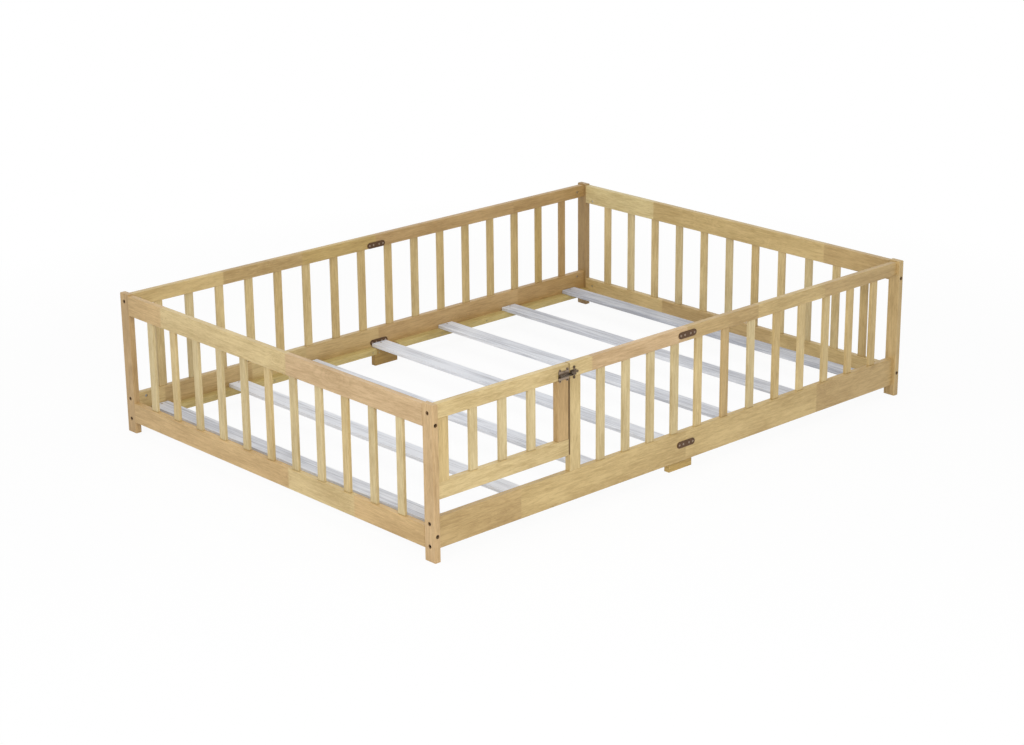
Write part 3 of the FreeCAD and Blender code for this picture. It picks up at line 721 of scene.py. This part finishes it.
def washed_slat(name, shift, depth):
    """Planed slat wood under a thin wash; a deeper wash hides more of it."""
    material, graph = new_material(name)
    length, first, second = bed_coordinates(graph, "Y")
    run = length + shift
    bands = stretched_noise(graph, (run * 1.5, first * 60.0, second * 60.0), 3.0, 0.6, 0.4)
    streaks = stretched_noise(graph, (run * 5.0, first * 190.0, second * 190.0), 4.0, 0.65)
    fibres = stretched_noise(graph, (run * 20.0, first * 800.0, second * 500.0), 3.0, 0.6)
    clouds = stretched_noise(graph, (run * 5.0, first * 16.0, second * 10.0), 3.0)
    shade = (bands - 0.5) * 1.6 + (streaks - 0.5) * 1.9 + (fibres - 0.5) * 0.9 + (clouds - 0.5) * 0.9
    shade = shade + 0.40 - depth
    washed = graph.mix(shade.clamped(), WASH_LIGHT, WASH_DARK)
    bare = (streaks * 0.6 + bands * 0.4 - 0.56) * 6.0
    base = graph.mix(bare.clamped() * 0.4, washed, WASH_BARE)
    bump = graph.node("Bump", strength=0.25, distance=0.0005, height=streaks + fibres)
    shader = graph.node("BsdfPrincipled", base_color=base, roughness=0.62 + fibres * 0.1,
                        normal=bump.outputs[0])
    graph.node("OutputMaterial", surface=shader.outputs[0])
    return material


wash_depths = (0.04, 0.42, 0.22, 0.26, 0.10, -0.03, -0.30)
slat_screw_places = []
slat_screw_inset = 0.0095
for number, depth in enumerate(wash_depths, start=1):
    name = "slat_{}".format(number)
    dress(name, washed_slat(name + "_wash", 31.0 + number * 1.3, depth))
    low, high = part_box(name)
    middle = (low[0] + high[0]) / 2
    for end in (low[1] + slat_screw_inset, high[1] - slat_screw_inset):
        slat_screw_places.append(((middle, end, high[2]), (0, 0, 1)))
hand_over(spread(screw_head(ledger_screw_radius, ledger_screw_rise), slat_screw_places),
          "slat_screws", yellow_zinc, "frame")


# ---------------------------------------------------------------- joining plates
# Flat stamped plates with round ends, darkened to bronze, screwed over the
# butt joints of the side rails with four pan-head screws each.

plate_bronze = metal("plate_bronze", (0.060, 0.031, 0.016), (0.25, 0.135, 0.064), 0.48, 0.6)
plate_screw_bronze = metal("plate_screw_bronze", (0.20, 0.14, 0.10), (0.62, 0.50, 0.38), 0.32, 0.9)
dress("joining_plates", plate_bronze)

plate_screw_radius = 0.0033
plate_screw_rise = 0.0010
plate_thick = 0.002
plate_row = (-0.028, -0.012, 0.012, 0.028)
front_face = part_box("front_top_rail_right")[0][1] - plate_thick
back_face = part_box("back_top_rail_right")[0][1] - plate_thick
front_plate_heights = (0.422, 0.086)
back_plate_drop = 0.0105
plate_screw_places = []
for height in front_plate_heights:
    for x in plate_row:
        plate_screw_places.append(((x, front_face, height), (0, -1, 0)))
        plate_screw_places.append(((x, back_face, height - back_plate_drop), (0, -1, 0)))
hand_over(spread(screw_head(plate_screw_radius, plate_screw_rise), plate_screw_places),
          "joining_plate_screws", plate_screw_bronze, "frame")


# ---------------------------------------------------------------- connector bolts and nuts
# Black steel bolts with round heads and hexagon sockets, sunk in the posts and
# screwed into round cross-dowel nuts that are pushed in from inside the rails.

black_steel = metal("black_bolt_steel", (0.028, 0.022, 0.018), (0.075, 0.055, 0.040), 0.42)
zinc_steel = metal("zinc_nut_steel", (0.42, 0.41, 0.38), (0.62, 0.61, 0.58), 0.35)

bolt_head_radius = 0.0049
bolt_head_height = 0.005
bolt_radius = 0.0029
bolt_tip = 0.009
nut_inset = 0.032
nut_radius = 0.0047
nut_length = 0.015
side_counterbore = 0.008
end_counterbore = 0.010
socket_half = 0.002
socket_depth = 0.003
nut_slot_depth = 0.0012


def hexagon_reach(angle):
    """The outline of a hexagon socket, seen from its middle."""
    return socket_half / math.cos(angle % (math.pi / 3) - math.pi / 6)


def slot_reach(angle, half_length=0.0034, half_width=0.0006):
    """The outline of a screwdriver slot, seen from its middle."""
    return min(half_length / max(abs(math.cos(angle)), tiny),
               half_width / max(abs(math.sin(angle)), tiny))


def bolt_shape(post_depth, counterbore):
    """A bolt that points down into the post, whose outer face is at height 0."""
    top = -counterbore + bolt_head_height
    tip = -(post_depth + nut_inset + bolt_tip)
    ease = 0.0007
    socket_rim = socket_half * 1.5
    outline = [(bolt_radius - ease, tip), (bolt_radius, tip + ease), (bolt_radius, -counterbore),
               (bolt_head_radius, -counterbore), (bolt_head_radius, top - ease),
               (bolt_head_radius - ease, top), (socket_rim, top)]
    return sunk(turned(outline), hexagon_reach, socket_depth)


def nut_shape():
    """A round nut with a slotted end; its middle is at height 0."""
    half = nut_length / 2
    ease = 0.0005
    slot_rim = nut_radius * 0.85
    outline = [(nut_radius - ease, -half), (nut_radius, -half + ease), (nut_radius, half - ease),
               (nut_radius - ease, half), (slot_rim, half)]
    return sunk(turned(outline), slot_reach, nut_slot_depth)


post_low, post_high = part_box("post_front_left")
post_thick = post_high[0] - post_low[0]
post_wide = post_high[1] - post_low[1]
outer_x, outer_y = -post_low[0], -post_low[1]
side_middle = outer_y - post_wide / 2
end_middle = outer_x - post_thick / 2
side_bolt_places = []
end_bolt_places = []
nut_places = []
for side in (-1, 1):
    for end in (-1, 1):
        for height in side_bolt_heights:
            if (side, end) == (-1, -1) and height > side_high:
                continue
            side_bolt_places.append(((end * outer_x, side * side_middle, height), (end, 0, 0)))
            nut_x = end * (outer_x - post_thick - nut_inset)
            nut_places.append(((nut_x, side * side_middle, height), (0, -side, 0)))
        for height in end_bolt_heights:
            end_bolt_places.append(((end * end_middle, side * outer_y, height), (0, side, 0)))
            nut_y = side * (outer_y - post_wide - nut_inset)
            nut_places.append(((end * end_middle, nut_y, height), (-end, 0, 0)))

side_bolts = hand_over(spread(bolt_shape(post_thick, side_counterbore), side_bolt_places),
                       "side_bolts", black_steel, "frame")
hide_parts("side_rail_bolts")
end_bolts = hand_over(spread(bolt_shape(post_wide, end_counterbore), end_bolt_places),
                      "end_bolts", black_steel, "frame")
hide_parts("end_rail_bolts")
nuts = hand_over(spread(nut_shape(), nut_places), "cross_dowel_nuts", zinc_steel, "frame")
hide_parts("barrel_nuts")


# ---------------------------------------------------------------- hinges
# Two small brass-plated butt hinges in the corner between the post and the
# gate, their leaves screwed on and their knuckles rolled round a plated pin.

hinge_brass = metal("hinge_brass", (0.46, 0.34, 0.17), (0.66, 0.53, 0.32), 0.36)
for name in ("frame_hinge_leaves", "gate_hinge_leaves", "hinge_pins"):
    dress(name, hinge_brass)

hinge_screw_radius = 0.0016
hinge_screw_rise = 0.0011
hinge_screw_lift = 0.0001
hinge_screw_inset = 0.0085
hinge_screw_half_gap = 0.011
hinge_half_height = 0.019
post_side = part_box("post_front_left")[1][0]
gate_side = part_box("gate_hinge_stile")[0][0]
leaf_low, leaf_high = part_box("frame_hinge_leaves")
hinge_heights = (leaf_low[2] + hinge_half_height, leaf_high[2] - hinge_half_height)
hinge_screw_y = leaf_high[1] - hinge_screw_inset
hinge_screw_heights = [height + level * hinge_screw_half_gap
                       for height in hinge_heights for level in (-1, 1)]
for body, wood, way in (("frame", post_side, 1), ("gate", gate_side, -1)):
    places = [((wood + way * hinge_screw_lift, hinge_screw_y, height), (way, 0, 0))
              for height in hinge_screw_heights]
    hand_over(spread(screw_head(hinge_screw_radius, hinge_screw_rise), places),
              body + "_leaf_screws", hinge_brass, body)


# ---------------------------------------------------------------- latch
# A small barrel bolt in antique bronze: a plate with four ears and a slotted
# barrel on the gate, a rod with a ball knob, and a lobed keeper on the frame.

latch_low, latch_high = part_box("latch_plate")
latch_middle = (latch_low[2] + latch_high[2]) / 2
latch_plate_thick = 0.0016
plate_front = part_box("gate_top_rail")[0][1] - latch_plate_thick
face_slack = 0.0001
# Painted shade: the barrel, rod and knob in front of the plate and the plate's rim behind its face take
# the dark second colour; the flat of the plate stays light.
latch_bronze = metal("latch_bronze", (0.40, 0.31, 0.23), (0.020, 0.013, 0.008), 0.34, 0.9, 420.0,
                     plate_face=plate_front - face_slack)
keeper_bronze = metal("keeper_bronze", (0.20, 0.15, 0.105), (0.03, 0.02, 0.013), 0.34, 0.9, 420.0)
latch_screw_bronze = metal("latch_screw_bronze", (0.03, 0.018, 0.010), (0.30, 0.21, 0.14), 0.4, 0.85)
for name in ("latch_plate", "latch_rod"):
    dress(name, latch_bronze)
dress("latch_keeper", keeper_bronze)

latch_screw_radius = 0.0024
latch_screw_rise = 0.0009
ear_rise = 0.015
ear_inset = 0.006
keeper_ear_inset = 0.015


def ear_screws(*middles):
    """Screw heads on the upper and lower ears of a plate, at the ears' middles."""
    places = [((x, plate_front, latch_middle + level * ear_rise), (0, -1, 0))
              for x in middles for level in (-1, 1)]
    return spread(screw_head(latch_screw_radius, latch_screw_rise), places)


hand_over(ear_screws(latch_low[0] + ear_inset, latch_high[0] - ear_inset), "latch_plate_screws",
          latch_screw_bronze, "gate")
hand_over(ear_screws(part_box("latch_keeper")[0][0] + keeper_ear_inset), "keeper_screws",
          latch_screw_bronze, "frame")

knob_rise = 0.018
knob_tilt = math.radians(60.0)
ball_radius = 0.0036
ball_steps = 10
neck_turn = 0.12
neck_radius = 0.00245
neck_length = 0.0006
stem_radius = 0.00175
stem_inset = 0.0065
neck_top = knob_rise - ball_radius - neck_length
ball = [(stem_radius, 0.0), (stem_radius, neck_top - neck_length), (neck_radius, neck_top)]
for step in range(1, ball_steps):
    swing = math.pi * (neck_turn + (1.0 - neck_turn) * step / ball_steps)
    ball.append((ball_radius * math.sin(swing), knob_rise - ball_radius * math.cos(swing)))
knob_mesh = turned(ball)
rod_low, rod_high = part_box("latch_rod")
stem_foot = Vector((latch_high[0] - stem_inset, (rod_low[1] + rod_high[1]) / 2, latch_middle))
bmesh.ops.transform(knob_mesh, matrix=Matrix.Translation(stem_foot) @ Matrix.Rotation(knob_tilt, 4, "X"),
                    verts=knob_mesh.verts)
knob = hand_over(knob_mesh, "ball_knob", latch_bronze, "latch_bolt")
for face in knob.data.polygons:
    face.use_smooth = True
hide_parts("latch_knob")
